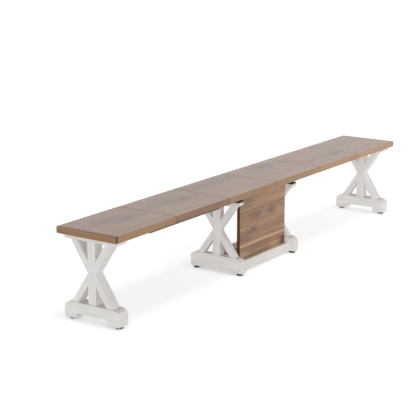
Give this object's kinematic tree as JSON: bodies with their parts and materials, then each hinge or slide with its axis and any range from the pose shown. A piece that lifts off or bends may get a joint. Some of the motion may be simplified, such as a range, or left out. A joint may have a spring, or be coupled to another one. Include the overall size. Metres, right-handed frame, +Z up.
{
  "type": "extending trestle bench",
  "caption": "Long trestle bench with a wooden seat of separate leaves on telescopic slides, white X-shaped trestles and a store for the loose leaves in its centre stand.",
  "frame": {"origin": "on the floor, midway along and across the seat, the bench drawn out", "axes": "+X along the seat towards the far end, +Y across it towards the back, +Z up"},
  "size_m": [2.784, 0.355, 0.457],
  "materials": {
    "seat_wood": "brown-grey stained board, clear satin lacquer, grain along the seat",
    "end_strip_wood": "brown stained strip, grain across the seat",
    "panel_wood": "brown stained board with knots, satin",
    "batten_wood": "plain sanded wood, unfinished",
    "painted_wood": "white satin paint on wood",
    "black_steel": "black powder coat, satin",
    "saddle_plastic": "black, matt",
    "nylon": "natural white, smooth",
    "glide_plastic": "black, matt",
    "screw_steel": "zinc plated"
  },
  "bodies": {
    "centre_stand": {"stand_near_foot_beam": "painted_wood", "stand_near_post": "painted_wood", "stand_near_lower_arms": "painted_wood", "stand_near_upper_arms": "painted_wood", "stand_near_top_rail": "painted_wood", "stand_far_foot_beam": "painted_wood", "stand_far_post": "painted_wood", "stand_far_lower_arms": "painted_wood", "stand_far_upper_arms": "painted_wood", "stand_far_top_rail": "painted_wood", "stand_glides": "glide_plastic", "stand_front_skirt": "painted_wood", "stand_back_skirt": "painted_wood", "store_ledgers": "batten_wood", "store_slats": "batten_wood", "store_front_panel": "panel_wood", "store_panel_brackets": "black_steel", "slide_saddles": "saddle_plastic", "slide_fixed_bars": "black_steel", "slide_fixed_shoes": "nylon"},
    "near_end": {"near_leaf_board": "seat_wood", "near_end_strip": "end_strip_wood", "near_foot_beam": "painted_wood", "near_post": "painted_wood", "near_lower_arms": "painted_wood", "near_upper_arms": "painted_wood", "near_top_rail": "painted_wood", "near_glides": "glide_plastic", "near_leaf_screws": "screw_steel", "near_slide_end_bars": "black_steel", "near_slide_end_shoes": "nylon"},
    "near_carrier": {"near_slide_carrier_bars": "black_steel"},
    "near_middle": {"near_slide_middle_bars": "black_steel", "near_slide_middle_shoes": "nylon"},
    "far_end": {"far_leaf_board": "seat_wood", "far_end_strip": "end_strip_wood", "far_foot_beam": "painted_wood", "far_post": "painted_wood", "far_lower_arms": "painted_wood", "far_upper_arms": "painted_wood", "far_top_rail": "painted_wood", "far_glides": "glide_plastic", "far_leaf_screws": "screw_steel", "far_slide_end_bars": "black_steel", "far_slide_end_shoes": "nylon"},
    "far_carrier": {"far_slide_carrier_bars": "black_steel"},
    "far_middle": {"far_slide_middle_bars": "black_steel", "far_slide_middle_shoes": "nylon"},
    "leaf_2": {"leaf_2_board": "seat_wood", "leaf_2_battens": "batten_wood"},
    "leaf_3": {"leaf_3_board": "seat_wood", "leaf_3_battens": "batten_wood"},
    "leaf_4": {"leaf_4_board": "seat_wood", "leaf_4_battens": "batten_wood"},
    "leaf_5": {"leaf_5_board": "seat_wood", "leaf_5_battens": "batten_wood"}
  },
  "joints": [
    {"name": "near_end_slide", "type": "slide", "parent": "centre_stand", "child": "near_end", "axis": [-1, 0, 0], "range_m": [0, 0.06]},
    {"name": "near_carrier_slide", "type": "slide", "parent": "centre_stand", "child": "near_carrier", "axis": [-1, 0, 0], "range_m": [0, 0.0401]},
    {"name": "near_middle_slide", "type": "slide", "parent": "centre_stand", "child": "near_middle", "axis": [-1, 0, 0], "range_m": [0, 0.0201]},
    {"name": "far_end_slide", "type": "slide", "parent": "centre_stand", "child": "far_end", "axis": [1, 0, 0], "range_m": [0, 0.06]},
    {"name": "far_carrier_slide", "type": "slide", "parent": "centre_stand", "child": "far_carrier", "axis": [1, 0, 0], "range_m": [0, 0.0401]},
    {"name": "far_middle_slide", "type": "slide", "parent": "centre_stand", "child": "far_middle", "axis": [1, 0, 0], "range_m": [0, 0.0201]},
    {"name": "leaf_2_lift", "type": "slide", "parent": "centre_stand", "child": "leaf_2", "axis": [0, 0, 1], "range_m": [0, 0.1]},
    {"name": "leaf_3_lift", "type": "slide", "parent": "centre_stand", "child": "leaf_3", "axis": [0, 0, 1], "range_m": [0, 0.1]},
    {"name": "leaf_4_lift", "type": "slide", "parent": "centre_stand", "child": "leaf_4", "axis": [0, 0, 1], "range_m": [0, 0.1]},
    {"name": "leaf_5_lift", "type": "slide", "parent": "centre_stand", "child": "leaf_5", "axis": [0, 0, 1], "range_m": [0, 0.1]}
  ],
  "couplings": [
    {"joint": "near_carrier_slide", "follows": "near_end_slide", "ratio": 0.6667},
    {"joint": "near_middle_slide", "follows": "near_end_slide", "ratio": 0.3333},
    {"joint": "far_carrier_slide", "follows": "far_end_slide", "ratio": 0.6667},
    {"joint": "far_middle_slide", "follows": "far_end_slide", "ratio": 0.3333}
  ]
}
